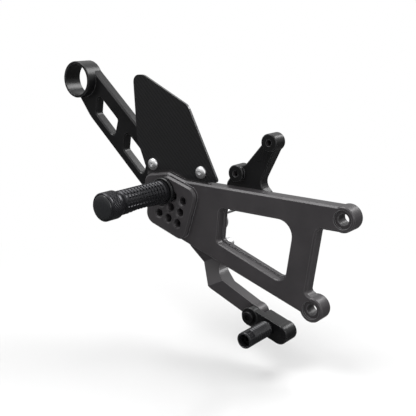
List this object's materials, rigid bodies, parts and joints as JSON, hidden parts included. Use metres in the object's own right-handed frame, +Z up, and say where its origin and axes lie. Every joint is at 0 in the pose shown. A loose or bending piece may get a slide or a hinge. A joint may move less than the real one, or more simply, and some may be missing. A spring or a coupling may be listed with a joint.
{
  "type": "rear set footrest",
  "caption": "Motorcycle rear set: milled bracket with adjustable knurled footpeg, heel guard, exhaust hanger, cylinder bracket and sprung rear brake lever.",
  "frame": {"origin": "centre of the upper frame bolt's bore, on the boss face that the bolt head meets", "axes": "+X forward along the motorcycle, +Y in towards it along the bolts, +Z up"},
  "size_m": [0.2885, 0.1167, 0.2014],
  "materials": {
    "black_anodised": "satin black anodised, bead blasted",
    "knurled_black": "black anodised, knurled",
    "zinc_steel": "zinc plated",
    "black_steel": "black oxide",
    "carbon": "clear-coated carbon twill",
    "grey_polymer": "moulded",
    "bronze": "sintered bronze",
    "spring_steel": "bright wire"
  },
  "bodies": {
    "frame_side": {"frame_bracket": "black_anodised", "footpeg": "knurled_black", "peg_collar": "black_anodised", "peg_bolt": "black_steel", "peg_end_cap": "grey_polymer", "heel_guard": "carbon", "heel_guard_screws": "zinc_steel", "exhaust_hanger": "black_anodised", "hanger_bolts": "zinc_steel", "cylinder_bracket": "black_anodised", "cylinder_bracket_screws": "zinc_steel", "pivot_bolt": "zinc_steel", "pivot_spacer": "zinc_steel", "thrust_washer": "bronze", "retaining_washer": "zinc_steel", "return_spring": "spring_steel", "spring_anchor": "zinc_steel", "stop_bush": "zinc_steel", "stop_screw": "zinc_steel"},
    "lever_side": {"brake_lever": "black_anodised", "pivot_bush": "bronze", "spring_post": "zinc_steel", "toe_piece": "black_anodised", "toe_piece_screw": "zinc_steel", "toe_peg": "knurled_black", "toe_peg_bolt": "black_steel"}
  },
  "joints": [
    {"name": "brake_pedal", "type": "hinge", "parent": "frame_side", "child": "lever_side", "pos_m": [-0.136, 0.0178, -0.031], "axis": [0, 1, 0], "range_deg": [0, 13], "stiffness_Nm_per_rad": 1.2, "springref_deg": -34.38, "deforming": ["return_spring"]}
  ]
}
